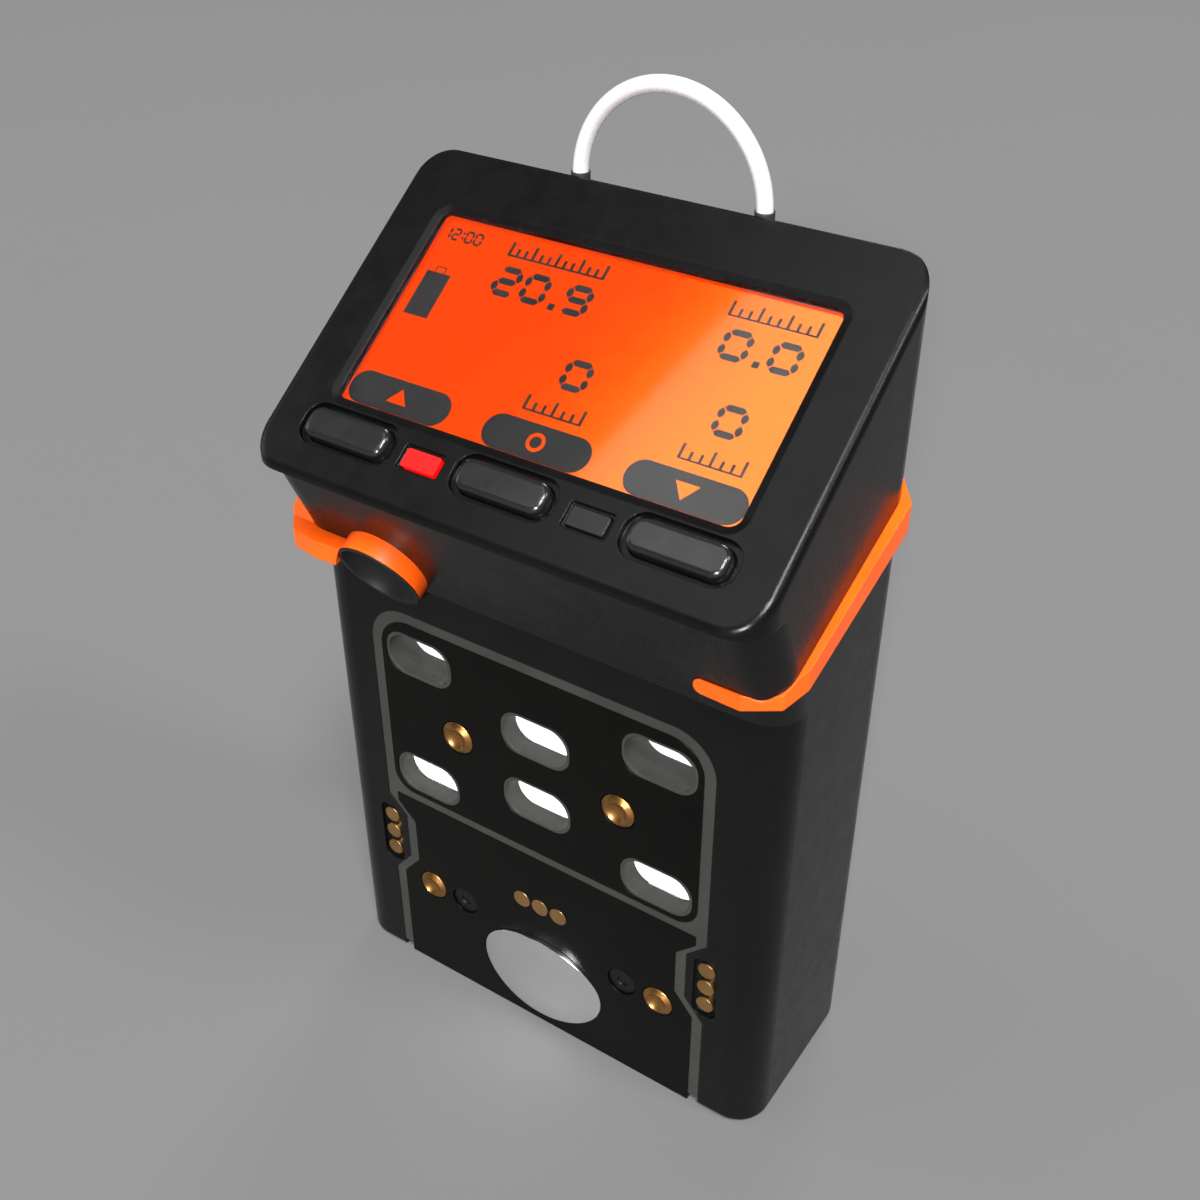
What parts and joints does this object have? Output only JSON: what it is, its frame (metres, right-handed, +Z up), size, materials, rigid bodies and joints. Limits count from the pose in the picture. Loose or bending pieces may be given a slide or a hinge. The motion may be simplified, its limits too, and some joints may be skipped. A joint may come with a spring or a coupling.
{
  "type": "portable gas detector",
  "caption": "Hand-held multi-gas detector with a sloping backlit display, press keys, alarm horn, vented sensor cover, clip-on battery pack, wire bail and belt clip.",
  "frame": {"origin": "centre of the flat bottom face, halfway through the depth of the case", "axes": "+Z up the case, -Y out of the front cover, +X to the right as the display is read"},
  "size_m": [0.0787, 0.0522, 0.1396],
  "materials": {
    "case_plastic": "satin charcoal moulding with fine spark texture",
    "cover_plastic": "satin black moulding",
    "key_plastic": "satin, slightly glossier than the case",
    "orange_rubber": "soft satin orange overmould",
    "seal_rubber": "grey elastomer",
    "black_rubber": "matt elastomer",
    "clear_lens": "polished clear window",
    "lcd": "orange backlit display",
    "red_light": "red light guide",
    "dark_light": "smoked light guide",
    "bronze": "satin bronze plating",
    "gold_contact": "polished contact plating",
    "dark_steel": "blackened screw",
    "chrome": "bright plating",
    "bright_wire": "bright white-coated wire",
    "steel": "brushed stainless",
    "filter_cloth": "white microporous membrane",
    "board_green": "solder-masked laminate",
    "chip_black": "moulded package",
    "cell_wrap": "printed cell sleeve",
    "sensor_can": "moulded sensor body",
    "black_plastic": "matt moulding"
  },
  "bodies": {
    "case": {"front_housing": "case_plastic", "sensor_cover": "cover_plastic", "sensor_frame": "seal_rubber", "dust_filters": "filter_cloth", "toxic_gas_sensors": "sensor_can", "combustible_sensor": "steel", "sensor_board": "board_green", "battery_case": "cover_plastic", "battery_lid": "cover_plastic", "battery_cells": "cell_wrap", "emblem_plate": "chrome", "seam_seal": "seal_rubber", "cover_screws": "bronze", "battery_screws": "bronze", "service_screws": "dark_steel", "charging_contacts": "gold_contact", "left_side_contacts": "gold_contact", "right_side_contacts": "gold_contact", "display_lens": "clear_lens", "lens_seal": "black_rubber", "display_module": "lcd", "display_board": "board_green", "left_alarm_light": "red_light", "right_alarm_light": "dark_light", "key_mat": "black_rubber", "key_board": "board_green", "horn_ring": "orange_rubber", "horn_grille": "black_plastic", "sounder": "black_plastic", "bumper_band": "orange_rubber", "main_board": "board_green", "board_chips": "chip_black", "vibration_motor": "steel", "rear_cover": "cover_plastic", "rear_seal": "black_rubber", "rear_cover_screws": "steel", "bail_bracket": "black_plastic", "bail_collars": "black_rubber", "bail": "bright_wire", "bracket_screws": "steel", "clip_base": "steel", "clip_pin": "steel", "clip_screws": "steel", "clip_spring": "steel"},
    "left_key": {"left_button": "key_plastic"},
    "centre_key": {"centre_button": "key_plastic"},
    "right_key": {"right_button": "key_plastic"},
    "clip": {"clip_lever": "steel"}
  },
  "joints": [
    {"name": "left_key_press", "type": "slide", "parent": "case", "child": "left_key", "axis": [0, 0.5821, -0.8131], "range_m": [0, 0.0007], "stiffness_N_per_m": 900},
    {"name": "centre_key_press", "type": "slide", "parent": "case", "child": "centre_key", "axis": [0, 0.5821, -0.8131], "range_m": [0, 0.0007], "stiffness_N_per_m": 900},
    {"name": "right_key_press", "type": "slide", "parent": "case", "child": "right_key", "axis": [0, 0.5821, -0.8131], "range_m": [0, 0.0007], "stiffness_N_per_m": 900},
    {"name": "clip_hinge", "type": "hinge", "parent": "case", "child": "clip", "pos_m": [0, 0.0205, 0.068], "axis": [1, 0, 0], "range_deg": [0, 20], "stiffness_Nm_per_rad": 0.15, "springref_deg": -11.46}
  ]
}
